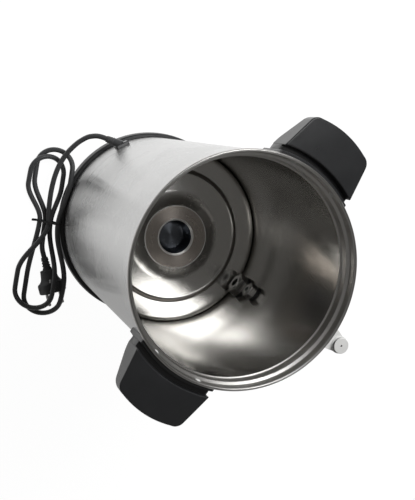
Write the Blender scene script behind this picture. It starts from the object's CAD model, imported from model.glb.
"""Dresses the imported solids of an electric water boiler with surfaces, finishes and a plain studio.

The frame is that of the solids: the vessel's axis is Z, the table is at z = 0, the tap points along -Y and
the handles along +X and -X. Lengths are in metres. The formulas of the lead, the handles, the rivets and the
gauge are in millimetres, and MM turns their points into metres.
"""

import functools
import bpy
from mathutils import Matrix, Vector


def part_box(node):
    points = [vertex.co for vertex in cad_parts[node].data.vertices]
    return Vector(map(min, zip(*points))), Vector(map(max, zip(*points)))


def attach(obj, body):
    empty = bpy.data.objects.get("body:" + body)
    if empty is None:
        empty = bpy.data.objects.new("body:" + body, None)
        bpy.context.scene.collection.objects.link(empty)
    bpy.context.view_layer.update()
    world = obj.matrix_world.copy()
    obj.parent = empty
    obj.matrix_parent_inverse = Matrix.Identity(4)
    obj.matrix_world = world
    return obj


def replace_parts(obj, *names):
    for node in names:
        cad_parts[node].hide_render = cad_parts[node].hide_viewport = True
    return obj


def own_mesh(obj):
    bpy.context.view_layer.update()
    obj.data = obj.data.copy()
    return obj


bl_info = {
    "name": "Water Boiler Dressing",
    "version": (1, 0, 0),
    "blender": (4, 5, 0),
    "location": "View3D > Sidebar > Boiler",
    "description": "Builds the shown surfaces, finishes and studio of an electric water boiler",
    "category": "Object",
}

import bmesh
import bpy
import numpy as np
from bpy.props import FloatProperty, FloatVectorProperty, IntProperty, PointerProperty
from mathutils import Euler

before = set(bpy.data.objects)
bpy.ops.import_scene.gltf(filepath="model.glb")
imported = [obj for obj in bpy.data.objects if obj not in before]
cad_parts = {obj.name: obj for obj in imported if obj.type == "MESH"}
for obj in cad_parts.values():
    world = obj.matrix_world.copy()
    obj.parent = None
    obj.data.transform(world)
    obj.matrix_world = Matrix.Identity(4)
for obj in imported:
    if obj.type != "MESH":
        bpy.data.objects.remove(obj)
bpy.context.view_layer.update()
ROOT = "urn"
MM = 0.001

# Diameter of the mains lead, in millimetres
CORD = 7.2


def reach_of(node):
    """How far a solid reaches along +X, to a tenth of a millimetre."""
    return round(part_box(node)[1][0], 4)


def low_of(node):
    """The height of a solid's lowest point, to a tenth of a millimetre."""
    return round(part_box(node)[0][2], 4)


def top_of(node):
    """The height of a solid's highest point, to a tenth of a millimetre."""
    return round(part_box(node)[1][2], 4)


def length(name, description, default):
    """A size in metres that a user may change."""
    return FloatProperty(name=name, description=description, default=default, unit="LENGTH", precision=4)


def colour(name, description, default):
    """A colour that a user may change."""
    return FloatVectorProperty(name=name, description=description, default=default, subtype="COLOR",
                               size=3, min=0, max=1)


def share(name, description, default):
    """A plain number from 0 to 1 that a user may change."""
    return FloatProperty(name=name, description=description, default=default, min=0, max=1, subtype="FACTOR")


def amount(name, description, default):
    """A plain number from 0 up that a user may change."""
    return FloatProperty(name=name, description=description, default=default, min=0)


class BoilerSizes(bpy.types.PropertyGroup):
    """Sizes of the shown pieces."""

    jacket_r: length("Jacket radius", "Outside radius of the jacket", reach_of("jacket"))
    jacket_wall: length("Jacket wall", "Sheet thickness of the jacket", 0.001)
    seam_z: length("Seam height", "Height of the seam above the lower band", low_of("jacket"))
    rim_z: length("Rim height", "Height of the rim", top_of("tank_shell"))
    tank_r: length("Tank radius", "Inside radius of the tank", 0.122)
    seat_r: length("Lid seat radius", "Radius of the lid seat", 0.124)
    collar_r: length("Collar radius", "Inside radius of the collar", 0.1276)
    bead_r: length("Bead radius", "Outside radius of the rolled bead", reach_of("tank_shell"))
    floor_z: length("Floor corner", "Height of the tank floor at its corner", 0.120)
    flat_z: length("Floor flat", "Height of the floor's flat middle", 0.128)
    step_r: length("Step ring", "Radius of the floor's step ring", 0.090)
    hub_foot_r: length("Hub foot", "Radius of the hub's foot", reach_of("heater_hub"))
    hub_top_r: length("Hub top", "Radius of the hub's flat top", 0.043)
    hub_top_z: length("Hub height", "Height of the hub's top", top_of("heater_hub"))
    well_r: length("Well", "Radius of the hub's well", 0.0243)
    cord_d: length("Lead diameter", "Diameter of the mains lead", CORD * MM)
    segments: IntProperty(name="Segments", description="Steps round a turned piece",
                          default=192, min=24, max=512)


class BoilerFinish(bpy.types.PropertyGroup):
    """Colours and finishes of the shown pieces."""

    steel: colour("Jacket steel", "Colour of the jacket's steel", (0.57, 0.57, 0.565))
    tank: colour("Tank steel", "Colour of the tank's steel", (0.64, 0.63, 0.61))
    hub: colour("Hub steel", "Colour of the heat-tinted hub", (0.40, 0.36, 0.325))
    bright: colour("Bright metal", "Colour of the polished fittings", (0.86, 0.86, 0.85))
    dark: colour("Dark metal", "Colour of the dull nuts", (0.66, 0.65, 0.63))
    brass: colour("Brass", "Colour of the turned brass", (0.72, 0.55, 0.27))
    black: colour("Black plastic", "Colour of the handles and knobs", (0.0125, 0.0130, 0.0142))
    rubber: colour("Lead rubber", "Colour of the mains lead", (0.050, 0.051, 0.053))
    jacket_rough: share("Jacket roughness", "Roughness of the jacket", 0.25)
    tank_rough: share("Tank roughness", "Roughness of the tank", 0.16)
    black_rough: share("Plastic roughness", "Roughness of the black plastic", 0.29)


class BoilerStudio(bpy.types.PropertyGroup):
    """Camera and light."""

    camera_at: FloatVectorProperty(name="Camera", description="Place of the camera", subtype="XYZ",
                                   unit="LENGTH", default=(-0.06884, 0.36608, 1.21284))
    camera_turn: FloatVectorProperty(name="Camera turn", description="Turn of the camera in degrees",
                                     default=(-9.7043, -19.3073, -51.5402))
    lens: FloatProperty(name="Lens", description="Focal length in millimetres",
                        default=60.26, min=10, max=200)
    floor_glow: amount("Floor glow", "Light that the white floor sends out", 0.97)
    floor_dim: amount("Floor dim", "Its share that reaches the part", 0.35)
    sky: amount("Sky", "Strength of the grey surroundings", 0.14)
    key: amount("Key light", "Power of the softbox in watts", 7.4)
    wash: amount("Wash light", "Power of the wide light in watts", 32.0)


def sizes():
    """The sizes in use."""
    return bpy.context.scene.boiler_sizes


def finish():
    """The colours and finishes in use."""
    return bpy.context.scene.boiler_finish


# Surfaces

MERGE = 2e-6
SHARP = 32


def unit(v):
    """A vector drawn to a length of 1."""
    return v / np.linalg.norm(v)


def circle(count):
    """Points of a circle of radius 1, as (cos a, sin a)."""
    a = np.linspace(0, 2 * np.pi, count, endpoint=False)
    return np.stack([np.cos(a), np.sin(a)], 1)


def grid_faces(rows, cols, wrap_rows, wrap_cols, first=0):
    """Quads of a grid of points, joined up at the ends where it wraps, counted from the point first."""
    index = np.arange(rows * cols).reshape(rows, cols) + first
    i = np.arange(rows if wrap_rows else rows - 1)
    j = np.arange(cols if wrap_cols else cols - 1)
    k, m = (i + 1) % rows, (j + 1) % cols
    quads = [index[np.ix_(i, j)], index[np.ix_(k, j)], index[np.ix_(k, m)], index[np.ix_(i, m)]]
    return np.stack(quads, -1).reshape(-1, 4)


def merged(mesh, shortest):
    """A mesh opened for editing, with points that meet merged and edges below a length taken out."""
    work = bmesh.new()
    work.from_mesh(mesh)
    bmesh.ops.remove_doubles(work, verts=work.verts, dist=MERGE)
    bmesh.ops.dissolve_degenerate(work, edges=work.edges, dist=shortest)
    return work


def surface(name, grids, material, body=ROOT, sharp=None):
    """One piece from grids of points, each (points, wraps by rows, wraps by columns).

    Points that meet are merged, which closes poles and seams, faces are turned outwards, and the piece is
    shaded smooth, with edges above the angle sharp kept.
    """
    points, faces, first = [], [], 0
    for cloud, wrap_rows, wrap_cols in grids:
        rows, cols = cloud.shape[:2]
        points.append(cloud.reshape(-1, 3))
        faces.append(grid_faces(rows, cols, wrap_rows, wrap_cols, first))
        first += rows * cols
    mesh = bpy.data.meshes.new(name)
    mesh.from_pydata(np.concatenate(points).tolist(), [], np.concatenate(faces).tolist())
    work = merged(mesh, 1e-7)
    bmesh.ops.recalc_face_normals(work, faces=work.faces)
    work.to_mesh(mesh)
    work.free()
    return settle(bpy.data.objects.new(name, mesh), material, body, sharp)


def settle(piece, material, body=ROOT, sharp=None):
    """Shows a piece, gives it its finish, shades it smooth and lets it ride on its body."""
    bpy.context.scene.collection.objects.link(piece)
    piece.data.materials.clear()
    piece.data.materials.append(material)
    if piece.type == "MESH":
        piece.data.polygons.foreach_set("use_smooth", np.ones(len(piece.data.polygons), bool))
        if sharp is not None:
            piece.data.set_sharp_from_angle(angle=np.radians(sharp))
    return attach(piece, body)


def rounded(corners, steps=5, hold=0.0004):
    """A closed outline whose corners (x, y, radius) are rounded by arcs.

    The arc's centre lies on the corner's bisector at radius / sin(half the opening), and the arc runs
    between the two points where it touches the sides. A holding point stands before and after each arc, so
    that flat sides shade flat.
    """
    c = np.asarray(corners, float)
    p, r = c[:, :2], c[:, 2]
    a, b = np.roll(p, 1, 0) - p, np.roll(p, -1, 0) - p
    la, lb = np.linalg.norm(a, axis=1), np.linalg.norm(b, axis=1)
    a, b = a / la[:, None], b / lb[:, None]
    half = np.arccos(np.clip((a * b).sum(1), -1, 1)) / 2
    touch = r / np.tan(half)
    middle = (a + b) / np.linalg.norm(a + b, axis=1, keepdims=True)
    centre = p + middle * (r / np.sin(half))[:, None]
    start, end = p + a * touch[:, None] - centre, p + b * touch[:, None] - centre
    begin = np.arctan2(start[:, 1], start[:, 0])
    sweep = (np.arctan2(end[:, 1], end[:, 0]) - begin + np.pi) % (2 * np.pi) - np.pi
    angle = begin[:, None] + sweep[:, None] * np.linspace(0, 1, steps)
    arc = centre[:, None] + r[:, None, None] * np.stack([np.cos(angle), np.sin(angle)], -1)
    ha, hb = np.minimum(hold, 0.2 * la), np.minimum(hold, 0.2 * lb)
    before = p + a * (touch + ha)[:, None]
    after = p + b * (touch + hb)[:, None]
    return np.concatenate([before[:, None], arc, after[:, None]], 1).reshape(-1, 2)


def rectangle(half_x, half_y, corner, hold):
    """A rectangle's outline round its middle, with round corners."""
    ends = ((-1, -1), (1, -1), (1, 1), (-1, 1))
    return rounded([(a * half_x, b * half_y, corner) for a, b in ends], hold=hold)


def turned(outline, count=None):
    """A closed outline (radius, height) carried round the Z axis: (r cos a, r sin a, z)."""
    c, s = circle(count or sizes().segments).T
    r, z = outline[:, 0, None], outline[:, 1, None]
    return np.stack([r * c, r * s, z + 0 * c], -1), True, True


def placed(cloud, x_axis, y_axis, z_axis, at):
    """Points whose own axes are laid along three directions from a place: at + x X + y Y + z Z."""
    axes = np.array([x_axis, y_axis, z_axis], float)
    return cloud @ axes + np.asarray(at, float)


def swept(path, section, up=(0, 0, 1)):
    """A closed section (side, up) carried along a path of points, square to it at each one."""
    t = np.gradient(path, axis=0)
    t /= np.linalg.norm(t, axis=1, keepdims=True)
    side = np.cross(t, up)
    side /= np.linalg.norm(side, axis=1, keepdims=True)
    top = np.cross(side, t)
    aside, above = section[None, :, 0, None], section[None, :, 1, None]
    return path[:, None] + aside * side[:, None] + above * top[:, None]


def capped(rows):
    """Rows of points closed at both ends by a row drawn together in its middle."""
    first, last = rows[:1].mean(1, keepdims=True), rows[-1:].mean(1, keepdims=True)
    count = rows.shape[1]
    return np.concatenate([np.repeat(first, count, 1), rows, np.repeat(last, count, 1)], 0)


def dressed(node, material, width, body=ROOT, slot=None, name=None):
    """A copy of a solid, merged to one skin with its edges rounded, that stands for it."""
    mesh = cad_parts[node].data.copy()
    work = merged(mesh, 1e-6)
    bmesh.ops.dissolve_limit(work, angle_limit=np.radians(1.0), verts=work.verts, edges=work.edges)
    work.to_mesh(mesh)
    work.free()
    piece = settle(bpy.data.objects.new(name or node + "_dressed", mesh), material, body, SHARP)
    edge = piece.modifiers.new("Edges", "BEVEL")
    edge.width = width
    edge.segments = 2
    edge.limit_method = "ANGLE"
    edge.angle_limit = np.radians(SHARP)
    edge.use_clamp_overlap = True
    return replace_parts(piece, node)


def dress(rows):
    """Dresses solids from rows: node, finish, width of the rounded edge, and body and slot where given."""
    for node, made, *more in rows:
        dressed(node, made(), *more)


def coat(rows):
    """Gives a finish to each solid that is shown as it is, from rows of node and finish."""
    for node, made in rows:
        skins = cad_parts[node].data.materials
        skins.clear()
        skins.append(made())


# Nodes of the finishes

SHADER = "Principled BSDF"


def feed(tree, socket, value):
    """Links a socket to another one, or sets its value."""
    if isinstance(value, bpy.types.NodeSocket):
        tree.links.new(value, socket)
    else:
        socket.default_value = value


def join(tree, shader, **values):
    """Links or sets a shader's sockets, whose names are given with _ for a space."""
    for key, value in values.items():
        feed(tree, shader.inputs[key.replace("_", " ")], value)


def place(tree, kind, settings=None, inputs=None):
    """Adds a node, sets its options, and sets or links its inputs."""
    made = tree.nodes.new(kind)
    for key, value in (settings or {}).items():
        setattr(made, key, value)
    for key, value in (inputs or {}).items():
        feed(tree, made.inputs[key], value)
    return made


def maths(tree, operation, a, b=0.0):
    """A Math node's result."""
    return place(tree, "ShaderNodeMath", {"operation": operation}, {0: a, 1: b}).outputs[0]


def spread(tree, value, low, high):
    """A value from 0 to 1 spread between two numbers."""
    ends = {"Value": value, "To Min": low, "To Max": high}
    return place(tree, "ShaderNodeMapRange", None, ends).outputs["Result"]


def ramp(tree, value, start, end, top=1.0):
    """0 while a value has not reached start, then rising to top at end."""
    ends = {"Value": value, "From Min": start, "From Max": end, "To Max": top}
    return place(tree, "ShaderNodeMapRange", None, ends).outputs["Result"]


def near(tree, value, middle, far, close):
    """1 where a value is closer than close to a middle, falling to 0 where it is far."""
    off = maths(tree, "ABSOLUTE", maths(tree, "SUBTRACT", value, middle))
    return ramp(tree, off, far, close)


def tint(tree, mask, a, b):
    """Two colours mixed by a mask."""
    made = place(tree, "ShaderNodeMix", {"data_type": "RGBA"}, {0: mask})
    for socket, value in ((made.inputs[6], a), (made.inputs[7], b)):
        linked = isinstance(value, bpy.types.NodeSocket)
        feed(tree, socket, value if linked else (*value[:3], 1))
    return made.outputs[2]


def here(tree):
    """The place on the piece, in Object coordinates."""
    return place(tree, "ShaderNodeTexCoord").outputs["Object"]


def axes_of(tree):
    """The X, Y and Z of the place on the piece."""
    return place(tree, "ShaderNodeSeparateXYZ", None, {0: here(tree)}).outputs


def joined(tree, x, y, z):
    """A place from its X, Y and Z."""
    return place(tree, "ShaderNodeCombineXYZ", None, {0: x, 1: y, 2: z}).outputs[0]


def distance(tree, xyz):
    """The distance from the Z axis: the root of x squared and y squared."""
    squares = [maths(tree, "MULTIPLY", xyz[i], xyz[i]) for i in (0, 1)]
    return maths(tree, "SQRT", maths(tree, "ADD", *squares))


def noise(tree, where, scale, detail, dimensions="3D", **more):
    """A noise's value at a place."""
    inputs = {"Vector": where, "Scale": scale, "Detail": detail, **more}
    return place(tree, "ShaderNodeTexNoise", {"noise_dimensions": dimensions}, inputs).outputs["Fac"]


def cells(tree, scale):
    """The distance to the nearest of many scattered points."""
    inputs = {"Vector": here(tree), "Scale": scale}
    return place(tree, "ShaderNodeTexVoronoi", None, inputs).outputs["Distance"]


def bump(tree, height, strength, depth, **more):
    """A normal bent by a height, of so many metres."""
    inputs = {"Strength": strength, "Distance": depth, "Height": height, **more}
    return place(tree, "ShaderNodeBump", None, inputs).outputs["Normal"]


def effect(tree, shared, **values):
    """A node group's outputs, with some of its inputs set."""
    return place(tree, "ShaderNodeGroup", {"node_tree": shared}, values).outputs


def once(store, name):
    """Lets a function build the material or node group of that name only once, and finds it after that."""
    def wrap(build):
        @functools.wraps(build)
        def found():
            have = getattr(bpy.data, store).get(name)
            return build(name) if have is None else have
        return found
    return wrap


# Shared effects


def group(name, inputs, outputs):
    """A new shader node group with named float inputs (name, default) and named float outputs."""
    tree = bpy.data.node_groups.new(name, "ShaderNodeTree")
    kind = "NodeSocketFloat"
    for label, default in inputs:
        tree.interface.new_socket(label, in_out="INPUT", socket_type=kind).default_value = default
    for label in outputs:
        tree.interface.new_socket(label, in_out="OUTPUT", socket_type=kind)
    return tree, tree.nodes.new("NodeGroupInput").outputs, tree.nodes.new("NodeGroupOutput").inputs


@once("node_groups", "Turned lines")
def turned_lines(name):
    """Fine lines that run round the Z axis, as brushing and turning leave them.

    Noise is read at (cos a, sin a) times a short length and at radius and height times the line count, so it
    hardly changes along a circle and changes fast across it.
    """
    tree, given, out = group(name, [("Lines", 900.0), ("Length", 1.2)], ["Value"])
    xyz = axes_of(tree)
    radius = distance(tree, xyz)
    safe = maths(tree, "MAXIMUM", radius, 1e-4)
    c, s = [maths(tree, "MULTIPLY", maths(tree, "DIVIDE", xyz[i], safe), given["Length"]) for i in (0, 1)]
    at = joined(tree, c, s, maths(tree, "MULTIPLY", radius, given["Lines"]))
    up = maths(tree, "MULTIPLY", xyz[2], given["Lines"])
    tree.links.new(noise(tree, at, 1.0, 3.0, "4D", W=up, Roughness=0.6), out["Value"])
    return tree


@once("node_groups", "Sheet waves")
def sheet_waves(name):
    """The slow waves of rolled sheet: noise that changes with the angle round the Z axis and, more slowly,
    with height."""
    tree, given, out = group(name, [("Across", 30.0), ("Along", 5.0)], ["Value"])
    rates = ("Across", "Across", "Along")
    at = joined(tree, *[maths(tree, "MULTIPLY", a, given[rate]) for a, rate in zip(axes_of(tree), rates)])
    tree.links.new(noise(tree, at, 1.0, 2.0), out["Value"])
    return tree


@once("node_groups", "Handling marks")
def handling_marks(name):
    """Soft smudges and a few small specks, as hands and drops of water leave them: a noise and scattered
    points, sharpened."""
    tree, given, out = group(name, [("Size", 14.0)], ["Smudge", "Speck"])
    soft = noise(tree, here(tree), given["Size"], 4.0, Roughness=0.55, Distortion=0.6)
    tree.links.new(ramp(tree, soft, 0.42, 0.72), out["Smudge"])
    tree.links.new(ramp(tree, cells(tree, 230.0), 0.10, 0.04), out["Speck"])
    return tree


@once("node_groups", "Moulded grain")
def moulded_grain(name):
    """The fine pebbled skin of moulded plastic, with slow changes of tone: a fine noise and a coarse one."""
    tree, given, out = group(name, [("Grain", 1500.0)], ["Height", "Tone"])
    where = here(tree)
    tree.links.new(noise(tree, where, given["Grain"], 2.0), out["Height"])
    tree.links.new(noise(tree, where, 32.0, 3.0), out["Tone"])
    return tree


# Finishes

ROUND_BRUSHING = 0.25
GRAIN_DEPTH = 0.0002
BLACK_GLOSS = 0.65


def blank(name):
    """A new material with its tree and its shader."""
    made = bpy.data.materials.new(name)
    made.use_nodes = True
    return made, made.node_tree, made.node_tree.nodes[SHADER]


def wavy(tree, depth):
    """A normal bent by the sheet's slow waves, of so many metres."""
    return bump(tree, effect(tree, sheet_waves())["Value"], 1.0, depth)


def metal(name, base, rough, lines=900.0, marks=0.12, brushed=0.0, relief=0.02, deep=0.9, waves=0.0,
          vary=0.2):
    """Turned or brushed metal: lines change its tone, gloss and height, and handling marks dull it in places.

    Brushing round the axis draws its reflections out along the axis.
    """
    made, tree, shader = blank(name)
    line = effect(tree, turned_lines(), Lines=lines)["Value"]
    mark = effect(tree, handling_marks())
    worst = maths(tree, "MAXIMUM", mark["Smudge"], mark["Speck"])
    gloss = spread(tree, line, rough * (1 - vary), rough * (1 + vary))
    base = np.array(base[:])
    join(tree, shader, Metallic=1.0, Anisotropic=brushed, Anisotropic_Rotation=ROUND_BRUSHING,
         Base_Color=tint(tree, line, base * deep, np.minimum(base * 1.04, 1)),
         Roughness=maths(tree, "ADD", gloss, maths(tree, "MULTIPLY", worst, marks)),
         Normal=bump(tree, line, relief, GRAIN_DEPTH, Normal=wavy(tree, waves)))
    return made


def plastic(name, base, rough, grain=1500.0, relief=0.12, coat_weight=0.0, gloss=0.5):
    """Moulded plastic or rubber: a pebbled skin with slow changes of tone and gloss."""
    made, tree, shader = blank(name)
    skin = effect(tree, moulded_grain(), Grain=grain)
    base = np.array(base[:])
    join(tree, shader, Coat_Weight=coat_weight, Specular_IOR_Level=gloss,
         Base_Color=tint(tree, skin["Tone"], base * 0.8, np.minimum(base * 1.25, 1)),
         Roughness=spread(tree, skin["Tone"], rough - 0.06, rough + 0.08),
         Normal=bump(tree, skin["Height"], relief, GRAIN_DEPTH))
    return made


def lens(name, base):
    """A translucent coloured lens with a faceted sparkle."""
    made, tree, shader = blank(name)
    facet = cells(tree, 900.0)
    base = np.array(base)
    join(tree, shader, Roughness=0.12, Coat_Weight=0.5,
         Base_Color=tint(tree, facet, np.minimum(base * 1.3, 1), base * 0.6),
         Normal=bump(tree, facet, 0.2, 0.0003))
    return made


def painted(made, mask, paint):
    """A material with a colour over its own where a mask is 1."""
    shader = made.node_tree.nodes[SHADER]
    under = shader.inputs["Base Color"].links[0].from_socket
    join(made.node_tree, shader, Base_Color=tint(made.node_tree, mask, under, paint))
    return made


@once("materials", "Jacket steel")
def jacket_steel(name):
    """The satin jacket."""
    return metal(name, finish().steel, finish().jacket_rough, lines=700.0, marks=0.06, brushed=0.4,
                 relief=0.006, deep=0.93, waves=0.00004)


@once("materials", "Tank steel")
def tank_steel(name):
    """The tank's satin inside, brushed round, duller from the lid seat up."""
    made = metal(name, finish().tank, finish().tank_rough, lines=320.0, marks=0.03, brushed=0.78,
                 relief=0.0, deep=0.97, waves=0.00028, vary=0.05)
    tree, shader = made.node_tree, made.node_tree.nodes[SHADER]
    seat_z = sizes().rim_z - SEAT_DROP
    dull = ramp(tree, axes_of(tree)[2], seat_z - 0.0008, seat_z + 0.0007, 0.20)
    polish = shader.inputs["Roughness"].links[0].from_socket
    join(tree, shader, Roughness=maths(tree, "ADD", polish, dull))
    return made


@once("materials", "Floor steel")
def floor_steel(name):
    """The tank floor's steel, dark in the step ring and in the corner, where deposits keep to the bends."""
    made, tree, shader = blank(name)
    s, rough, base = sizes(), finish().tank_rough, np.array(finish().tank[:])
    radius = distance(tree, axes_of(tree))
    step = near(tree, radius, s.step_r, 0.0028, 0.0014)
    corner = ramp(tree, radius, s.tank_r - 0.0014, s.tank_r - 0.0006)
    line = effect(tree, turned_lines(), Lines=320.0)["Value"]
    smudge = effect(tree, handling_marks())["Smudge"]
    bare = tint(tree, line, base * 0.96, np.minimum(base * 1.03, 1))
    dull = maths(tree, "ADD", maths(tree, "MULTIPLY", smudge, 0.04), maths(tree, "MULTIPLY", step, 0.2))
    join(tree, shader, Metallic=1.0, Anisotropic=0.7, Anisotropic_Rotation=ROUND_BRUSHING,
         Base_Color=tint(tree, maths(tree, "MAXIMUM", step, corner), bare, base * (0.16, 0.15, 0.14)),
         Roughness=maths(tree, "ADD", spread(tree, line, rough * 0.95, rough * 1.05), dull),
         Normal=wavy(tree, 0.00006))
    return made


@once("materials", "Hub steel")
def hub_steel(name):
    """Heat-tinted steel of the hub: turned lines over the tint, a dark well, plain steel on the flank, and
    bare edges round the flat ring and the well's ledge."""
    made, tree, shader = blank(name)
    s, base, plain = sizes(), np.array(finish().hub[:]), np.array(finish().tank[:])
    xyz = axes_of(tree)
    radius = distance(tree, xyz)
    line = effect(tree, turned_lines(), Lines=420.0)["Value"]
    smudge = effect(tree, handling_marks(), Size=40.0)["Smudge"]
    above = ramp(tree, xyz[2], s.hub_top_z - 0.0035, s.hub_top_z - 0.0022)
    outside = maths(tree, "MAXIMUM", above, ramp(tree, radius, 0.030, 0.031))
    flank = ramp(tree, radius, s.hub_top_r + 0.0002, s.hub_top_r + 0.0010)
    edges = [near(tree, radius, edge, 0.0009, 0.0005)
             for edge in (s.hub_top_r - 0.0001, s.well_r + 0.0002, s.well_r - 0.0014)]
    bare = functools.reduce(functools.partial(maths, tree, "MAXIMUM"), edges)
    bare = maths(tree, "MULTIPLY", bare, outside)
    ring = tint(tree, line, base * 0.90, base * 1.08)
    tone = tint(tree, outside, base * (0.30, 0.36, 0.45), ring)
    steel = tint(tree, line, plain * 0.80, plain * 0.92)
    join(tree, shader, Anisotropic=0.7, Anisotropic_Rotation=ROUND_BRUSHING,
         Base_Color=tint(tree, bare, tint(tree, flank, tone, steel), (0.80, 0.79, 0.77)),
         Roughness=maths(tree, "ADD", spread(tree, line, 0.20, 0.28), maths(tree, "MULTIPLY", smudge, 0.04)),
         Metallic=spread(tree, bare, 1.0, 0.25),
         Normal=wavy(tree, 0.00003))
    return made


@once("materials", "Bright metal")
def bright_metal(name):
    """Polished fittings."""
    return metal(name, finish().bright, 0.14, marks=0.08, relief=0.004)


@once("materials", "Plain steel")
def plain_steel(name):
    """Unpolished sheet and rod out of sight."""
    return metal(name, finish().steel, 0.30, lines=600.0, marks=0.10, relief=0.006)


@once("materials", "Dull nut")
def dull_nut(name):
    """Dull, darkened nuts."""
    return metal(name, finish().dark, 0.28, marks=0.10, relief=0.004, deep=0.85)


@once("materials", "Turned brass")
def turned_brass(name):
    """Turned brass."""
    return metal(name, finish().brass, 0.26, lines=1500.0)


@once("materials", "Satin cap")
def satin_cap(name):
    """Pale satin skin of the gauge's cap and fitting, dark in the cap's groove."""
    made = plastic(name, (0.66, 0.66, 0.65), 0.30, grain=1200.0, relief=0.04)
    tree = made.node_tree
    return painted(made, near(tree, axes_of(tree)[2], GROOVE_Z, 0.0014, 0.0010), (0.03, 0.03, 0.03))


@once("materials", "Black plastic")
def black_plastic(name):
    """Moulded black plastic of the handles and controls."""
    return plastic(name, finish().black, finish().black_rough, gloss=BLACK_GLOSS)


@once("materials", "Knob plastic")
def knob_plastic(name):
    """Black plastic of the knob, pale on the floor of the slot that points to the setting."""
    made = plastic(name, finish().black, finish().black_rough, gloss=BLACK_GLOSS)
    tree = made.node_tree
    x, y, z = axes_of(tree)
    low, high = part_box("thermostat_knob")
    face, middle, half = low[1], (low[2] + high[2]) / 2, (high[2] - low[2]) / 2
    slot = maths(tree, "LESS_THAN", maths(tree, "ABSOLUTE", x), 0.0012)
    ends = ((z, middle + half * 0.32, middle + half * 0.68), (y, face + 0.0007, face + 0.0012))
    for value, start, end in ends:
        slot = maths(tree, "MULTIPLY", slot, maths(tree, "GREATER_THAN", value, start))
        slot = maths(tree, "MULTIPLY", slot, maths(tree, "LESS_THAN", value, end))
    return painted(made, slot, (0.75, 0.75, 0.73))


@once("materials", "Base plastic")
def base_plastic(name):
    """Moulded black plastic of the base, duller than the handles."""
    return plastic(name, finish().black, 0.42, grain=1100.0, relief=0.10, gloss=BLACK_GLOSS)


@once("materials", "Rocker plastic")
def rocker_plastic(name):
    """Dark plastic of the switch's rocker."""
    return plastic(name, (0.03, 0.03, 0.032), 0.3)


@once("materials", "Tie plastic")
def tie_plastic(name):
    """Black skin of the tie's wire."""
    return plastic(name, (0.015, 0.015, 0.016), 0.4)


@once("materials", "Lead rubber")
def lead_rubber(name):
    """Satin rubber of the mains lead."""
    return plastic(name, finish().rubber, 0.42, grain=900.0, relief=0.06)


@once("materials", "Plug rubber")
def plug_rubber(name):
    """Rubber of the plug, duller than the lead."""
    return plastic(name, finish().rubber, 0.5)


@once("materials", "Seal rubber")
def seal_rubber(name):
    """Matte rubber of the gaskets and the foot."""
    return plastic(name, (0.02, 0.02, 0.02), 0.7, grain=700.0, relief=0.15)


@once("materials", "Pale ceramic")
def pale_ceramic(name):
    """Glazed ceramic of the terminal block."""
    return plastic(name, (0.78, 0.75, 0.68), 0.3, grain=500.0, relief=0.05, coat_weight=0.3)


@once("materials", "Pale silicone")
def pale_silicone(name):
    """Silicone of the hub's gasket."""
    return plastic(name, (0.62, 0.60, 0.55), 0.55, grain=600.0, relief=0.08)


@once("materials", "Amber lens")
def amber_lens(name):
    """Lens of the lamp that shows heating."""
    return lens(name, (0.85, 0.32, 0.03))


@once("materials", "Green lens")
def green_lens(name):
    """Lens of the lamp that shows that the water is ready."""
    return lens(name, (0.05, 0.42, 0.12))


@once("materials", "Gauge glass")
def clear_glass(name):
    """Clear glass of the sight gauge."""
    made, tree, shader = blank(name)
    smudge = effect(tree, handling_marks(), Size=60.0)["Smudge"]
    join(tree, shader, Base_Color=(0.93, 0.97, 0.97, 1), Roughness=spread(tree, smudge, 0.02, 0.08),
         Transmission_Weight=1.0, IOR=1.47)
    return made


# Mains lead, in millimetres: LEAD is the free stretch from the boot, and the tie holds the hank at WAIST

LEAD = np.array([
    (56.5, 137.5, 53), (55, 143, 51), (52.5, 148.5, 48.5), (49, 153, 46), (44, 157.5, 43),
    (38, 160.5, 40.5), (30.5, 163, 37.5), (23, 164.5, 35), (14, 165.5, 32), (5, 165.5, 29), (-5, 164.5, 26.5),
    (-15, 162.5, 24), (-26, 159, 21.5), (-38, 154, 19), (-50, 148, 17), (-62, 141, 15), (-74, 133.5, 14)])
WAIST, HEADING = np.array((-85.5, 124.7)), np.radians(208)

# PITCH lies between strands at the waist, FOLD is the radius of a loop's end, and a loop spreads over the
# share SPREAD of its run. The tie lifts the strands by TIE_LIFT, which fades over TIE_RUN. LEVEL and RIDE are
# how high the two upper strands lie at the waist, and OVER is how high a loop passes over the plug.
PITCH, FOLD, SPREAD = 7.8, 24.0, 0.75
TIE_LIFT, TIE_RUN, LEVEL, RIDE = 1.6, 45.0, 8.6, 18.6

# The lead's end runs straight, bends and rises to the plug, which lies tilted, with its disc on the floor
PLUG_RUN, PLUG_BEND, PLUG_TURN, PLUG_TILT = 32.0, 32.0, np.radians(22), np.radians(7)
PLUG_LEN, PLUG_DISC, PLUG_FLAT = 52.0, 14.0, 33.0
PLUG_GAP, OVER_GAP, RISE_FROM = 0.3, 1.2, 8.0
PLUG_Z = PLUG_FLAT / 2 * np.cos(PLUG_TILT) + PLUG_GAP - (PLUG_LEN - PLUG_DISC) * np.sin(PLUG_TILT)
OVER = PLUG_Z + PLUG_LEN * np.sin(PLUG_TILT) + PLUG_FLAT / 2 + OVER_GAP
REACH_A, REACH_B, REACH_C, REACH_D = 126.0, 134.0, 93.0, 104.0
PLUG_WAY = np.array((np.cos(HEADING + PLUG_TURN) * np.cos(PLUG_TILT),
                     np.sin(HEADING + PLUG_TURN) * np.cos(PLUG_TILT), np.sin(PLUG_TILT)))
GLAND_TURN, GLAND_R, GLAND_Z = np.radians(62), 130, 60


def ease(x):
    """A smooth step from 0 to 1: half of 1 - cos(pi x)."""
    return (1 - np.cos(np.pi * np.clip(x, 0, 1))) / 2


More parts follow.
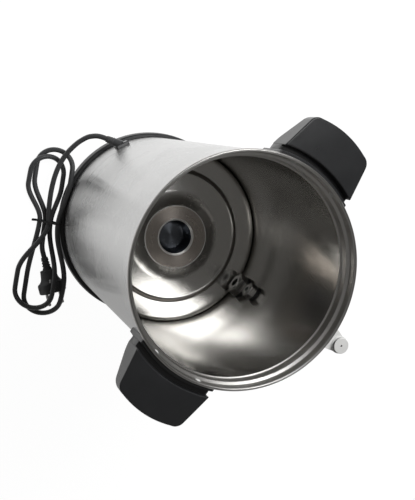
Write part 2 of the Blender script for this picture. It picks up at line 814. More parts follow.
def floor_lift(s):
    """Height of the lead's middle on the floor, raised at the waist by the tie below it."""
    return CORD / 2 + TIE_LIFT * (1 - ease(s / TIE_RUN))


def stations(q, marks):
    """A height that eases from one (distance, height) mark to the next."""
    height = np.full_like(q, marks[0][1])
    for (q0, h0), (q1, h1) in zip(marks, marks[1:]):
        height = height + (h1 - h0) * ease((q - q0) / (q1 - q0))
    return height


def lobe_length(reach):
    """Length of a lobe: two runs and a half-round fold."""
    return 2 * (reach - FOLD) + np.pi * FOLD


def back(reach, s):
    """Distance along a lobe, on its way back, that leaves so much to the waist."""
    return lobe_length(reach) - s


def tip(reach, angle):
    """Distance along a lobe at which its fold has turned through so many degrees."""
    return reach - FOLD + FOLD * np.radians(angle)


def lobe(side, start, end, middle, reach, marks, count=64):
    """A loop that leaves the waist on a side, spreads to a half-round fold and comes back, as (along, across,
    height)."""
    run, total = reach - FOLD, lobe_length(reach)
    q = np.linspace(0, total, count, endpoint=False)
    out = np.minimum(q, total - q)
    a = np.clip((q - run) / FOLD, 0, np.pi)
    s = np.minimum(out, run) + FOLD * np.sin(a)
    root = np.where(q < total / 2, start, end)
    t = root + (middle + side * FOLD * np.cos(a) - root) * ease(out / (SPREAD * run))
    return np.stack([side * s, t, floor_lift(s) + stations(q, marks)], 1)


def tail(count=16):
    """The lead's end, which leaves the waist straight, bends towards the base and rises to the plug."""
    total = PLUG_RUN + PLUG_BEND * PLUG_TURN + 1
    q = np.linspace(0, total, count)
    a = np.clip((q - PLUG_RUN) / PLUG_BEND, 0, PLUG_TURN)
    rest = np.maximum(0, q - PLUG_RUN - PLUG_BEND * PLUG_TURN)
    s = np.minimum(q, PLUG_RUN) + PLUG_BEND * np.sin(a) + rest * np.cos(PLUG_TURN)
    t = PITCH / 2 - PLUG_BEND * (1 - np.cos(a)) - rest * np.sin(PLUG_TURN)
    top = PLUG_Z - CORD * np.sin(PLUG_TILT) - CORD / 2
    return np.stack([s, t, floor_lift(s) + top * ease((q - RISE_FROM) / (total - RISE_FROM))], 1)


def laid(p):
    """Points (along, across, height) laid on the floor from the waist."""
    c, s = np.cos(HEADING), np.sin(HEADING)
    along, across, height = p[..., 0], p[..., 1], p[..., 2]
    return np.stack([WAIST[0] + along * c + across * s, WAIST[1] + along * s - across * c, height], -1)


def smooth_route(points, per):
    """A Catmull-Rom curve through points, with so many steps for each."""
    p = np.concatenate([2 * points[:1] - points[1:2], points, 2 * points[-1:] - points[-2:-1]])
    a, b, c, d = p[:-3, None], p[1:-2, None], p[2:-1, None], p[3:, None]
    t = np.linspace(0, 1, per, endpoint=False)[None, :, None]
    curve = 0.5 * (2 * b + (c - a) * t + (2 * a - 5 * b + 4 * c - d) * t**2 + (3 * b - a - 3 * c + d) * t**3)
    return np.concatenate([curve.reshape(-1, 3), points[-1:]])


def hank_route():
    """The hank from the waist to the plug: two long loops on one side and two short ones on the other, in
    turn. Each loop's marks say where it climbs over the strands and the plug that it crosses."""
    over = tip(REACH_C, 127)
    climb_a = [(0, LEVEL), (30, LEVEL + 2), (95, 0), (back(REACH_A, 176), 0), (back(REACH_A, 86), OVER),
               (back(REACH_A, 14), 0)]
    climb_b = [(back(REACH_B, 166), 0), (back(REACH_B, 88), OVER), (back(REACH_B, 22), RIDE)]
    climb_c = [(over - 50, 0), (over, LEVEL), (over + 50, 0)]
    climb_d = [(REACH_D - FOLD - 8, RIDE), (tip(REACH_D, 180), 0)]
    parts = [lobe(1, 0, -PITCH / 2, 8, REACH_A, climb_a),
             lobe(-1, -PITCH / 2, 1.5 * PITCH, 11.5, REACH_C, climb_c),
             lobe(1, 1.5 * PITCH, -1.5 * PITCH, -6, REACH_B, climb_b),
             lobe(-1, -1.5 * PITCH, PITCH / 2, 3.5, REACH_D, climb_d),
             tail()]
    return laid(np.concatenate(parts))


def lead_route():
    """The whole lead in metres, from the boot to the plug's entry."""
    hank = hank_route()
    first = smooth_route(np.concatenate([LEAD, hank[:1]]), 4)
    entry = hank[-1] + CORD * PLUG_WAY
    return np.concatenate([first[:-1], hank, entry[None]]) * MM


class BOILER_OT_mains_lead(bpy.types.Operator):
    """Lays the mains lead, its tie, its gland, its boot and its plug"""

    bl_idname = "boiler.mains_lead"
    bl_label = "Mains Lead"

    def execute(self, context):
        route = lead_route()
        cord = self.lead(route)
        tie = self.tie()
        gland = [self.block(), self.boot()]
        plug = self.plug(route[-1])
        return {"FINISHED"}

    def lead(self, route):
        """The lead, a round curve along its route."""
        curve = bpy.data.curves.new("mains_lead", "CURVE")
        curve.dimensions = "3D"
        curve.bevel_depth = sizes().cord_d / 2
        curve.bevel_resolution = 5
        curve.use_fill_caps = True
        line = curve.splines.new("POLY")
        line.points.add(len(route) - 1)
        line.points.foreach_set("co", np.c_[route, np.ones(len(route))].ravel())
        line.use_smooth = True
        cord = settle(bpy.data.objects.new("mains_lead", curve), lead_rubber())
        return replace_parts(cord, "cord_lead", "cord_hank")

    def tie(self):
        """A wire tie round the waist: in each direction the outline is the strand that lies furthest that
        way, and a thin rounded strip is carried round it. Its two ends are twisted and stand off on the outer
        side, each a helix (r cos a, y, r sin a)."""
        low = floor_lift(0.0)
        strands = np.array([(1.5 * PITCH, low), (0.5 * PITCH, low), (-0.5 * PITCH, low),
                            (-1.5 * PITCH, low + RIDE), (0, low + LEVEL)])
        out = circle(144)
        nearest = strands[(out @ strands.T).argmax(1)]
        inner, outer, half = 0.25, 1.5, 1.5
        strip = rounded([(inner, -half, 0.4), (outer, -half, 0.5), (outer, half, 0.5), (inner, half, 0.4)],
                        3, 0.1)
        reach = CORD / 2 + strip[None, :, 0, None]
        across = nearest[:, None] + reach * out[:, None]
        along = np.broadcast_to(strip[None, :, 1, None], across.shape[:2] + (1,))
        ring = np.concatenate([along, across], -1)
        wire_r, coil_r, turn = 0.8, 1.1, 14
        u = np.linspace(0, 1, 40)
        path = np.stack([coil_r * np.cos(turn * u), 1.5 * PITCH + 4.4 + 7 * u,
                         3.6 + coil_r * np.sin(turn * u) + 3 * u], 1)
        wire = swept(path, wire_r * circle(10), (1, 0, 0))
        other = wire * (-1, 1, 1) + (0, 0, 0.4)
        shapes = ((ring, True), (capped(wire), False), (capped(other), False))
        tie = surface("cord_tie_wire", [(laid(g) * MM, wrap, True) for g, wrap in shapes], tie_plastic())
        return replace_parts(tie, "cord_tie")

    def block(self):
        """The gland's block on the band: a rounded rectangle carried outwards, drawn in at its outer edge."""
        half_w, half_h, corner = 10, 7, 2
        levels = ((0, -0.6), (0, 3.8), (0.3, 4.6), (1.1, 5.0))
        plans = [rectangle(half_w - i, half_h - i, corner - i, 0.3) for i, _ in levels]
        rows = np.stack([np.c_[plan, np.full(len(plan), h)] for plan, (_, h) in zip(plans, levels)])
        out = np.array((np.cos(GLAND_TURN), np.sin(GLAND_TURN), 0))
        aside = np.array((-out[1], out[0], 0))
        cloud = placed(capped(rows), aside, (0, 0, 1), out, out * GLAND_R + (0, 0, GLAND_Z)) * MM
        block = surface("cord_gland_block", [(cloud, False, True)], black_plastic(),
                        sharp=50)
        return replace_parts(block, "cord_gland")

    def boot(self):
        """A tapered boot along the lead's first direction, whose radius swings with its length as ribs."""
        long, root_r, tip_r, rib, rib_pitch = 22, 6.6, 4.9, 0.28, 3.2
        x = np.linspace(-long, 0, 90)
        ribs = rib * np.cos(2 * np.pi * x / rib_pitch) * (x > -12) * (x < -1)
        r = np.interp(x, (-long, 0), (root_r, tip_r)) + ribs - rib
        rows = turned(np.stack([r, x], 1), 40)[0]
        way = unit(LEAD[1] - LEAD[0])
        side = unit(np.cross(way, (0, 0, 1)))
        cloud = placed(capped(rows), side, np.cross(side, way), way, LEAD[0]) * MM
        return surface("cord_boot", [(cloud, False, True)], lead_rubber(), sharp=60)

    def plug(self, entry):
        """The plug along its own axis: rings whose radius follows a profile, cut flat above and below, with
        ribs on the relief. Pins and earth clips are their solids with rounded edges."""
        x = np.array([0, 0.2, 0.8, 3, 5, 5.6, 7, 7.6, 9, 9.6, 11, 11.6, 13, 13.6, 15, 15.6, 17, 18, 18.6,
                      19.6, 22, 30, 33, 36, 37.6, 38.6, 39.6, 41, 50, 51, 51.6, 52, 52])
        r = np.array([4.2, 4.6, 4.8, 5.1, 5.3, 4.6, 4.7, 5.5, 5.7, 4.9, 5, 5.9, 6.1, 5.2, 5.3, 6.3, 6.5, 6.6,
                      10.2, 11, 11.2, 12.4, 13.4, 15.6, 18.2, 19, 19.4, 19.5, 19.5, 19.3, 18.9, 18.2, 0])
        c, s = circle(96).T
        y, z = r[:, None] * c, r[:, None] * s
        soft = 0.8
        flat = np.minimum(PLUG_FLAT / 2, r[:, None])
        past = np.abs(z) - flat + soft
        z = np.where(past > 0, np.sign(z) * (flat - soft * np.exp(-past / soft)), z)
        side = unit(np.cross((0, 0, 1), PLUG_WAY))
        rows = np.stack([x[:, None] + 0 * y, y, z], -1) * MM
        cloud = placed(rows, PLUG_WAY, side, np.cross(PLUG_WAY, side), entry)
        body = surface("plug_shell", [(cloud, False, True)], plug_rubber(), sharp=50)
        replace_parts(body, "plug_body")
        pins = dressed("plug_pins", bright_metal(), 0.0004, slot="bright_metal", name="plug_pins_round")
        clips = dressed("plug_earth_clips", bright_metal(), 0.0002, slot="bright_metal", name="plug_clips")
        return [body, pins, clips]


# Vessel: the drops are how far below the rim the jacket's edge, the bead's, the ledge and the lid seat lie

HEM_DROP, BEAD_DROP, LEDGE_DROP, SEAT_DROP = 0.0019, 0.0038, 0.0122, 0.0242
TANK_LOW, TANK_SHEET, FLOOR_SHEET, HUB_SHEET = low_of("tank_shell"), 0.001, 0.0012, 0.0015
FLOOR_R, SPIGOT_R, SPIGOT_WALL = 0.1219, 0.056, 0.002
FOOT_IN, FOOT_OUT, FOOT_H = 0.121, reach_of("foot_ring"), top_of("foot_ring")


class BOILER_OT_jacket(bpy.types.Operator):
    """Turns the jacket, the base and its foot, and dresses the lower band"""

    bl_idname = "boiler.jacket"
    bl_label = "Jacket and Base"

    def execute(self, context):
        s = sizes()
        r, inner = s.jacket_r, s.jacket_r - s.jacket_wall
        low, top = s.seam_z + 0.0005, s.rim_z - HEM_DROP
        skin = rounded([(r, low, 0.0006), (r, top, 0.0002), (inner, top, 0.0002), (inner, low, 0.0003)])
        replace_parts(surface("jacket_skin", [turned(skin)], jacket_steel()), "jacket")
        dressed("lower_housing", jacket_steel(), 0.0005, slot="jacket_steel", name="lower_band")
        self.base()
        foot = rounded([(FOOT_IN, 0, 0.0008), (FOOT_OUT, 0, 0.0008), (FOOT_OUT, FOOT_H, 0.0002),
                        (FOOT_IN, FOOT_H, 0.0002)])
        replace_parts(surface("foot_rubber", [turned(foot)], seal_rubber()), "foot_ring")
        return {"FINISHED"}

    def base(self):
        """The base's section: a ring with a groove for the foot below and a step for the band above."""
        wide, inner, band_r = reach_of("base_ring"), 0.118, 0.1301
        low, shelf, top = low_of("base_ring"), low_of("lower_housing"), top_of("base_ring")
        skirt = rounded([(inner, low, 0.0008), (FOOT_IN, low, 0.0002), (FOOT_IN, FOOT_H, 0.0002),
                         (FOOT_OUT, FOOT_H, 0.0002), (FOOT_OUT, low, 0.0002), (wide - 0.0018, low, 0.0012),
                         (wide, 0.005, 0.002), (wide - 0.0012, top, 0.003), (band_r, top, 0.0005),
                         (band_r, shelf, 0.0002), (inner, shelf, 0.0008)], 7)
        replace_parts(surface("base_skirt", [turned(skirt)], base_plastic()), "base_ring")


class BOILER_OT_tank(bpy.types.Operator):
    """Turns the tank, its floor and the heater hub"""

    bl_idname = "boiler.tank"
    bl_label = "Tank and Hub"

    def execute(self, context):
        self.wall(sizes())
        self.floor(sizes())
        self.hub(sizes())
        coat([("hub_gasket", pale_silicone), ("hub_ring_nut", turned_brass), ("heater_plate", bright_metal),
              ("heating_element", dull_nut), ("boil_dry_cutout", dull_nut), ("cutout_bracket", plain_steel),
              ("tank_spacer", black_plastic)])
        return {"FINISHED"}

    def wall(self, s):
        """The wall's section: straight up to the lid seat, out over its ledge to the collar, round the rolled
        bead, which takes the jacket's edge, and down the outside."""
        z, t = s.rim_z, TANK_SHEET
        seat, ledge, bead, hem = z - SEAT_DROP, z - LEDGE_DROP, z - BEAD_DROP, z - HEM_DROP
        hem_in, hem_out = 0.1288, 0.1302
        inside = [(s.tank_r, TANK_LOW, 0.0002), (s.tank_r, seat, 0.001), (s.seat_r, seat + 0.0012, 0.0008),
                  (s.seat_r, ledge, 0.0008), (s.collar_r, ledge + 0.0018, 0.001), (s.collar_r, z, 0.0018)]
        rim = [(s.bead_r, z, 0.0018), (s.bead_r, bead, 0.0008), (hem_out, bead, 0.0002),
               (hem_out, hem, 0.0002), (hem_in, hem, 0.0002)]
        outside = [(s.collar_r + t, ledge + 0.0014, 0.0004), (s.seat_r + t, ledge - 0.0005, 0.0004),
                   (s.seat_r + t, seat + 0.0007, 0.0004), (s.tank_r + t, seat - 0.0005, 0.0004),
                   (s.tank_r + t, TANK_LOW, 0.0002)]
        wall = turned(rounded(inside + rim + outside, 7))
        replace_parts(surface("tank_skin", [wall], tank_steel()), "tank_shell")

    def floor(self, s):
        """The floor's section: a flat middle, a raised step ring, and an outer ring that dips to the corner
        with the tenth power of the way out."""
        corner, flat, outer = s.floor_z, s.flat_z, s.flat_z - 0.0006
        bend, step = s.step_r + 0.003, flat + 0.0018
        dip = [(bend + (FLOOR_R - bend) * u, outer - (outer - corner) * u**10, 0.0003)
               for u in np.linspace(0.98, 0.5, 11)]
        top = [(FLOOR_R, corner, 0.0004), *dip, (bend, outer, 0.0012), (s.step_r + 0.0015, step, 0.0010),
               (s.step_r - 0.0015, step, 0.0010), (s.step_r - 0.003, flat, 0.0012),
               (SPIGOT_R + 0.0002, flat + 0.0006, 0.0003)]
        under = [(r, z - FLOOR_SHEET, 0.0004) for r, z, _ in reversed(top[1:])]
        inner = FLOOR_R - FLOOR_SHEET
        lip = [(inner, corner - FLOOR_SHEET, 0.0004), (inner, TANK_LOW, 0.0002), (FLOOR_R, TANK_LOW, 0.0002)]
        dish = turned(rounded(top + under + lip, 6))
        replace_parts(surface("floor_dish", [dish], floor_steel()), "tank_floor")

    def hub(self, s):
        """The hub's section: a thin foot, a flank that flares out to it, its height falling with
        1 - (1 - v)^1.7 on the way out, a flat ring, a small ledge round the well, and a bottom with a low
        bead."""
        top, foot, t, well = s.hub_top_z, s.flat_z + 0.001, HUB_SHEET, s.well_r
        brim = foot + 0.0005
        flank = [(s.hub_top_r + (s.hub_foot_r - s.hub_top_r) * v,
                  top - (top - brim) * (1 - (1 - v) ** 1.7), 0.0004) for v in np.linspace(1, 0, 13)[1:-1]]
        low, ledge, bottom_r, bead_r, axis = top - 0.026, well - 0.0015, 0.0186, 0.0169, 0.0002
        bead = [(bead_r + off, low + lift, 0.0003)
                for off, lift in ((0.0007, 0), (0.0003, 0.0005), (-0.0003, 0.0005), (-0.0007, 0))]
        above = [(s.hub_foot_r, foot, 0.0001), (s.hub_foot_r, brim, 0.0002), *flank,
                 (s.hub_top_r, top, 0.0003), (well, top, 0.0003), (well, top - 0.0016, 0.0003),
                 (ledge, top - 0.0020, 0.0003), (ledge, top - 0.012, 0.002), (bottom_r, low, 0.001), *bead,
                 (axis, low + 0.0006, 0.0001)]
        spigot_in, spigot_low = SPIGOT_R - SPIGOT_WALL, TANK_LOW + 0.001
        below = [(axis, low - t, 0.0001), (bottom_r + 0.001, low - t, 0.002), (ledge + t, top - 0.013, 0.001),
                 (well + t, top - 0.003, 0.0004), (well + t, top - t, 0.0004),
                 (s.hub_top_r - 0.0014, top - t, 0.0008), (spigot_in - 0.0005, foot + 0.0008, 0.001),
                 (spigot_in, foot - 0.0005, 0.0003), (spigot_in, spigot_low, 0.0003),
                 (SPIGOT_R, spigot_low, 0.0003), (SPIGOT_R, foot, 0.0003)]
        outline = rounded(above + below, 6)
        outline[:, 0] = np.where(outline[:, 0] < 2 * axis, 0, outline[:, 0])
        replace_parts(surface("hub_skin", [turned(outline)], hub_steel()), "heater_hub")


# Handles, in millimetres

GRIP_TIP, GRIP_TOP = reach_of("handle_right") / MM, top_of("handle_right") / MM
GRIP_ROOT, GRIP_WALL, GRIP_CROWN = 141.0, 5.0, 0.35
SPINE_X, SPINE_HALF = 162.0, 34


def grip_outline(inset, count=12):
    """Plan of a grip, drawn in by an inset: an arc beside the flange, tapering sides, round corners and a
    bowed tip, always with the same number of points."""
    half, tip_half, corner = 50.5 - inset, 43.5 - inset, max(2.0, 12.0 - inset)
    tip_x, inner, small = GRIP_TIP - inset, GRIP_ROOT + inset, max(0.5, 1.6 - 0.3 * inset)
    cx, cy = tip_x - 5 - corner, tip_half - corner
    u = np.linspace(0, 1, count)
    a = np.radians(82 + (8 - 82) * u)
    bend = np.stack([cx + corner * np.cos(a), cy + corner * np.sin(a)], 1)
    edge = bend[-1]
    y = edge[1] * (1 - 2 * u[1:-1])
    bow = np.stack([edge[0] + (tip_x - edge[0]) * (1 - (y / edge[1]) ** 2), y], 1)
    opening = np.arcsin(half / inner)
    root = np.array([inner * np.cos(opening), half])
    along = unit(bend[0] - root)
    inward = np.array([np.sin(opening), -np.cos(opening)])
    turn = small * np.linspace(0, 1, 5)[:, None]
    knee = root + inward * (small - turn) * (1 - turn / small) + along * turn * (turn / small)
    side = knee[-1] + (bend[0] - knee[-1]) * np.linspace(0, 1, 8)[1:-1, None]
    upper = np.concatenate([knee, side, bend])
    lower = upper[::-1] * (1, -1)
    start = np.arctan2(lower[-1, 1], lower[-1, 0])
    b = np.linspace(start, -start, 2 * count)[1:-1]
    arc = inner * np.stack([np.cos(b), np.sin(b)], 1)
    return np.concatenate([upper, bow, lower, arc])


def grip_grid():
    """The hollow grip as one skin: from a spine on its top out to the rounded edge, down the side to a lower
    edge that slants up to the tip, round that edge, and up the inside to a spine under the top. The top is
    crowned: it sags with the squares of the distances from its middle."""
    top, wall = GRIP_TOP, GRIP_WALL
    e = np.linspace(0, np.pi / 2, 6)
    r, low_r = 1.6, 1.0
    insets = np.concatenate([[8.0, r + 0.6], r * (1 - np.sin(e)), [0, 0], low_r * (1 - np.cos(e)),
                             wall - low_r * (1 - np.sin(e)), [wall, wall, wall + 2]])
    tops = np.concatenate([[0.0, 0], -r * (1 - np.cos(e)), [-r - 0.5]])
    k, n_low = len(tops), len(insets) - len(tops) - 3
    rings = np.stack([grip_outline(i) for i in insets])
    deep, slant, slant_run = 35, 18, 39
    low = top - deep + np.clip((rings[..., 0] - GRIP_ROOT) / slant_run, 0, 1) * slant
    lift = np.concatenate([[low_r + 0.5], low_r * (1 - np.sin(e)), low_r * (1 - np.cos(e))])[:n_low]
    z = np.empty(rings.shape[:2])
    z[:k] = top + tops[:, None]
    z[k:k + n_low] = low[k:k + n_low] + lift[:, None]
    z[k + n_low] = low[k + n_low] + low_r + 0.6
    z[k + n_low + 1] = top - wall - 2
    z[k + n_low + 2] = top - wall
    across = np.clip(rings[[0, -1], :, 1], -SPINE_HALF, SPINE_HALF)
    first, last = [np.stack([np.full_like(y, SPINE_X), y, np.full_like(y, height)], -1)[None]
                   for y, height in zip(across, (top, top - wall))]
    skin = np.concatenate([first, np.concatenate([rings, z[..., None]], -1), last])
    sag = GRIP_CROWN * ((skin[..., 1] / 50) ** 2 + ((skin[..., 0] - 158) / 30) ** 2)
    skin[..., 2] -= np.where(np.arange(len(skin))[:, None] <= k, sag, 0)
    return skin, False, True


def arc_bar(corners, half, count=40):
    """A rounded section (radius, height) carried round the Z axis between two flat ends at y = half and
    y = -half: a point of radius r turns through arcsin(half / r) either side. The end rows are drawn in for a
    soft edge and closed."""
    section = rounded(corners, 4, 0.3)
    u = np.concatenate([[-1, -0.997, -0.988], np.linspace(-0.97, 0.97, count), [0.988, 0.997, 1]])
    middle = section.mean(0)
    draw = np.ones(len(u))
    draw[[0, -1]], draw[[1, -2]] = 0.95, 0.985
    s = middle + (section[None] - middle) * draw[:, None, None]
    a = u[:, None] * np.arcsin(half / s[..., 0])
    rows = np.stack([s[..., 0] * np.cos(a), s[..., 0] * np.sin(a), s[..., 1]], -1)
    return capped(rows), False, True


class BOILER_OT_handles(bpy.types.Operator):
    """Moulds the two handles and sets their rivets"""

    bl_idname = "boiler.handles"
    bl_label = "Handles"

    def execute(self, context):
        flange = arc_bar([(130.1, 351, 0.6), (135, 351, 1.2), (135, 399, 0.8), (130.1, 399, 0.4)], 50.4)
        neck = arc_bar([(134, 366.4, 0.3), (143.5, 366.4, 0.3), (143.5, 391, 0.3), (134, 391, 0.3)], 50.0)
        parts = [grip_grid(), flange, neck]
        for node, side in (("handle_right", 1), ("handle_left", -1)):
            grids = [(g * (side, side, 1) * MM, a, b) for g, a, b in parts]
            shell = surface(node + "_shell", grids, black_plastic(), sharp=55)
            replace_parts(shell, node)
        self.rivets()
        return {"FINISHED"}

    def rivets(self):
        """Low domed rivet heads inside the collar: height falls with the square of the way from the top."""
        wide, dome, edge, seat = 3.4, 1.25, 0.1, -1.0
        collar, height, turn = 127.5, 396, 13.3
        r = np.linspace(0, wide, 9)
        bow = np.stack([r, dome * (1 - (r / wide) ** 2) + edge], 1)
        head = turned(np.concatenate([bow, [(wide, seat), (0, seat)]]), 32)[0]
        grids = []
        for a in np.radians((-turn, turn, 180 - turn, 180 + turn)):
            inward = np.array((-np.cos(a), -np.sin(a), 0))
            aside, at = (-inward[1], inward[0], 0), -inward * collar + (0, 0, height)
            grids.append((placed(head, aside, (0, 0, 1), inward, at) * MM, False, True))
        heads = surface("rivet_heads", grids, satin_cap(), sharp=50)
        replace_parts(heads, "handle_rivets")


# Fittings

SPRING_SEAT, STEM_TRAVEL = 0.133, 0.0033
GAUGE_AT = (0, round(sum(corner[1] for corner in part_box("gauge_cap")) / 2, 4), 0)
GROOVE_Z = top_of("gauge_cap") - 0.003


class BOILER_OT_tap(bpy.types.Operator):
    """Dresses the tap and winds its spring"""

    bl_idname = "boiler.tap"
    bl_label = "Tap"

    def execute(self, context):
        dress([("tap_body", bright_metal, 0.0007), ("tap_bonnet", bright_metal, 0.0005),
               ("tap_nut", dull_nut, 0.0008), ("tap_washer", dull_nut, 0.0003),
               ("tap_pin", bright_metal, 0.0003), ("tap_gaskets", seal_rubber, 0.0002),
               ("tap_lever", black_plastic, 0.0006, "lever", "black_plastic"),
               ("tap_stem", turned_brass, 0.0004, "stem", "brass"),
               ("tap_seal", seal_rubber, 0.0003, "stem", "seal_rubber")])
        self.spring(SPRING_SEAT, STEM_TRAVEL)
        return {"FINISHED"}

    def spring(self, seat_z, travel):
        """The spring, a helix of round wire (r cos a, r sin a, z) that shortens by the stem's travel above
        its seat."""
        low, high = map(np.array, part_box("tap_spring"))
        wire, turns = 0.0007, 5
        u = np.linspace(0, 1, 48 * turns)
        a = 2 * np.pi * turns * u
        middle, r = (low + high) / 2, (high[0] - low[0]) / 2 - wire
        path = np.stack([middle[0] + r * np.cos(a), middle[1] + r * np.sin(a),
                         low[2] + wire + (high[2] - low[2] - 2 * wire) * u], 1)
        rows = capped(swept(path, wire * circle(12)))
        spring = surface("tap_spring_wire", [(rows, False, True)], bright_metal(),
                         sharp=50)
        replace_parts(spring, "tap_spring")
        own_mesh(spring)


class BOILER_OT_gauge(bpy.types.Operator):
    """Dresses the sight gauge and turns its cap and glass"""

    bl_idname = "boiler.gauge"
    bl_label = "Sight Gauge"

    def execute(self, context):
        dress([("gauge_lower_fitting", bright_metal, 0.0005), ("gauge_gland", bright_metal, 0.0005),
               ("gauge_upper_fitting", satin_cap, 0.0005), ("gauge_nut", dull_nut, 0.0006),
               ("gauge_washer", dull_nut, 0.0003), ("gauge_upper_nut", bright_metal, 0.0003),
               ("gauge_gaskets", seal_rubber, 0.0002), ("gauge_seals", seal_rubber, 0.0002)])
        self.cap()
        self.glass()
        return {"FINISHED"}

    def cap(self):
        """The cap: a disc with a groove and a vent in its top, turned round the gauge's axis. The radius of
        its edge above the groove swings with the angle as a knurl."""
        wide, low, top = reach_of("gauge_cap") / MM, low_of("gauge_cap") / MM, top_of("gauge_cap") / MM
        groove, bore, vent = 8.2, 6.7, 1.2
        groove_low, groove_top = low + 0.9, top - 1.8
        outline = rounded([(vent, top, 0.2), (wide, top, 0.6), (wide, groove_top + 0.2, 0.3),
                           (groove, groove_top, 0.2), (groove, groove_low, 0.2),
                           (wide, groove_low - 0.2, 0.3), (wide, low, 0.2), (bore, low, 0.2),
                           (bore, groove_top, 0.2), (vent, groove_top, 0.2)], 6, 0.3)
        cloud, *wraps = turned(outline, 240)
        x, y, z = np.moveaxis(cloud, -1, 0)
        knurled = (np.hypot(x, y) > wide - 0.1) & (z > groove_top + 0.3) & (z < top - 0.5)
        shrink = np.where(knurled, 1 - 0.012 * (1 + np.cos(48 * np.arctan2(y, x))), 1)
        cloud = np.stack([x * shrink, y * shrink, z], -1) * MM + GAUGE_AT
        cap = surface("gauge_cap_knurled", [(cloud, *wraps)], satin_cap(), sharp=50)
        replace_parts(cap, "gauge_cap")

    def glass(self):
        """The glass: a tube with round ends, turned round the gauge's axis."""
        wide, low, top = reach_of("gauge_tube") / MM, low_of("gauge_tube") / MM, top_of("gauge_tube") / MM
        bore = 4.5
        outline = rounded([(bore, low, 0.4), (wide, low, 0.4), (wide, top, 0.4), (bore, top, 0.4)], 5, 0.3)
        cloud, *wraps = turned(outline, 64)
        glass = surface("gauge_glass", [(cloud * MM + GAUGE_AT, *wraps)], clear_glass())
        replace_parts(glass, "gauge_tube")


class BOILER_OT_controls(bpy.types.Operator):
    """Dresses the knob, the switch, the lamps and what is under the vessel"""

    bl_idname = "boiler.controls"
    bl_label = "Controls and Underside"

    def execute(self, context):
        dress([("thermostat_knob", knob_plastic, 0.0004, "knob", "black_plastic"),
               ("thermostat_shaft", plain_steel, 0.0003, "knob", "tank_steel"),
               ("thermostat_body", dull_nut, 0.0006), ("thermostat_nut", bright_metal, 0.0004),
               ("switch_housing", black_plastic, 0.0005),
               ("switch_rocker", rocker_plastic, 0.0006, "rocker", "black_plastic"),
               ("heat_lamp", amber_lens, 0.0005), ("ready_lamp", green_lens, 0.0005),
               ("bottom_plate", plain_steel, 0.0002), ("tie_rods", plain_steel, 0.0003),
               ("tie_nuts", bright_metal, 0.0004), ("terminal_block", pale_ceramic, 0.0006)])
        return {"FINISHED"}


# Studio


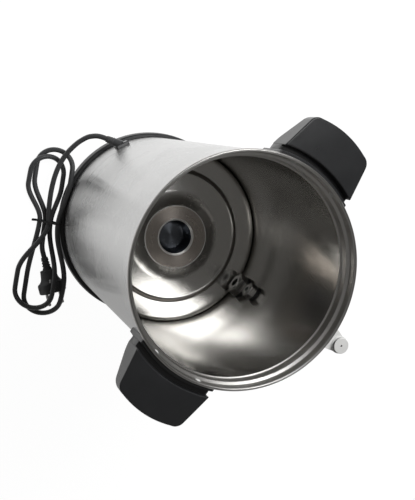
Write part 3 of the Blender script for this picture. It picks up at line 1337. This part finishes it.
class BOILER_OT_stage(bpy.types.Operator):
    """Sets the floor, the lights and the camera"""

    bl_idname = "boiler.stage"
    bl_label = "Stage"

    def execute(self, context):
        scene, studio = context.scene, context.scene.boiler_studio
        self.floor(studio)
        self.surroundings(scene, studio)
        self.soft_light("softbox", studio.key, at=(0.749, 0.052, 1.663), to=(0, 0, 0.25), size=(0.60, 0.80))
        wash = self.soft_light("wash", studio.wash, at=(1.5, 0.05, 1.5), to=(0, 0, 0.2), size=(0.9, 0.9))
        wash.visible_glossy = False
        self.camera(scene, studio)
        scene.view_settings.view_transform = "Standard"
        return {"FINISHED"}

    def floor(self, studio):
        """A wide pale floor. The camera sees its even glow, and the part receives a dimmer one with soft
        shadows."""
        mesh = bpy.data.meshes.new("floor")
        half = 4.0
        corners = [(-half, -half, 0), (half, -half, 0), (half, half, 0), (-half, half, 0)]
        mesh.from_pydata(corners, [], [(0, 1, 2, 3)])
        made, tree, shader = blank("Pale floor")
        seen = place(tree, "ShaderNodeLightPath").outputs["Is Camera Ray"]
        join(tree, shader, Roughness=0.8, Emission_Color=(1, 1, 1, 1),
             Base_Color=tint(tree, seen, (0.85, 0.85, 0.85), (0.06, 0.06, 0.06)),
             Emission_Strength=spread(tree, seen, studio.floor_dim, studio.floor_glow))
        mesh.materials.append(made)
        floor = bpy.data.objects.new("floor", mesh)
        bpy.context.scene.collection.objects.link(floor)

    def surroundings(self, scene, studio):
        """A white background for the camera, which lights the part as a dim warm grey."""
        world = bpy.data.worlds.new("Surroundings")
        world.use_nodes = True
        tree = world.node_tree
        seen = place(tree, "ShaderNodeLightPath").outputs["Is Camera Ray"]
        join(tree, tree.nodes["Background"], Color=tint(tree, seen, (1.0, 0.985, 0.96), (1, 1, 1)),
             Strength=spread(tree, seen, studio.sky, studio.floor_glow))
        scene.world = world

    def soft_light(self, name, power, at, to, size):
        """A large area light at a place, turned to a point."""
        lamp = bpy.data.lights.new(name, "AREA")
        lamp.shape = "RECTANGLE"
        lamp.size, lamp.size_y = size
        lamp.energy = power
        light = bpy.data.objects.new(name, lamp)
        light.location = at
        way = np.array(to) - np.array(at)
        flat = np.hypot(way[0], way[1])
        light.rotation_euler = Euler((np.arctan2(flat, -way[2]), 0, np.arctan2(way[1], way[0]) - np.pi / 2))
        bpy.context.scene.collection.objects.link(light)
        return light

    def camera(self, scene, studio):
        """The camera, at its place and turn."""
        eye = bpy.data.cameras.new("camera")
        eye.lens = studio.lens
        eye.sensor_width = 36.0
        eye.clip_start = 0.05
        camera = bpy.data.objects.new("camera", eye)
        camera.location = studio.camera_at
        camera.rotation_euler = Euler(np.radians(studio.camera_turn[:]).tolist())
        scene.collection.objects.link(camera)
        scene.camera = camera


class BOILER_PT_panel(bpy.types.Panel):
    """Lists the boiler's pieces, sizes and finishes"""

    bl_idname = "BOILER_PT_panel"
    bl_label = "Water Boiler"
    bl_space_type = "VIEW_3D"
    bl_region_type = "UI"
    bl_category = "Boiler"

    def draw(self, context):
        for operator in OPERATORS:
            self.layout.operator(operator.bl_idname)
        for owner in (context.scene.boiler_sizes, context.scene.boiler_finish, context.scene.boiler_studio):
            column = self.layout.column(align=True)
            for key in owner.__annotations__:
                column.prop(owner, key)


OPERATORS = (BOILER_OT_stage, BOILER_OT_mains_lead, BOILER_OT_jacket, BOILER_OT_tank, BOILER_OT_handles,
             BOILER_OT_tap, BOILER_OT_gauge, BOILER_OT_controls)
GROUPS = (BoilerSizes, BoilerFinish, BoilerStudio)


def register():
    """Registers the property groups, the operators and the panel."""
    for made in (*GROUPS, *OPERATORS, BOILER_PT_panel):
        bpy.utils.register_class(made)
    bpy.types.Scene.boiler_sizes = PointerProperty(type=BoilerSizes)
    bpy.types.Scene.boiler_finish = PointerProperty(type=BoilerFinish)
    bpy.types.Scene.boiler_studio = PointerProperty(type=BoilerStudio)


def unregister():
    """Takes away what register added."""
    del bpy.types.Scene.boiler_sizes, bpy.types.Scene.boiler_finish, bpy.types.Scene.boiler_studio
    for made in (BOILER_PT_panel, *reversed(OPERATORS), *reversed(GROUPS)):
        bpy.utils.unregister_class(made)


def main():
    """Builds the stage and every piece."""
    register()
    bpy.ops.boiler.stage()
    bpy.ops.boiler.mains_lead()
    bpy.ops.boiler.jacket()
    bpy.ops.boiler.tank()
    bpy.ops.boiler.handles()
    bpy.ops.boiler.tap()
    bpy.ops.boiler.gauge()
    bpy.ops.boiler.controls()


if __name__ == "__main__":
    main()
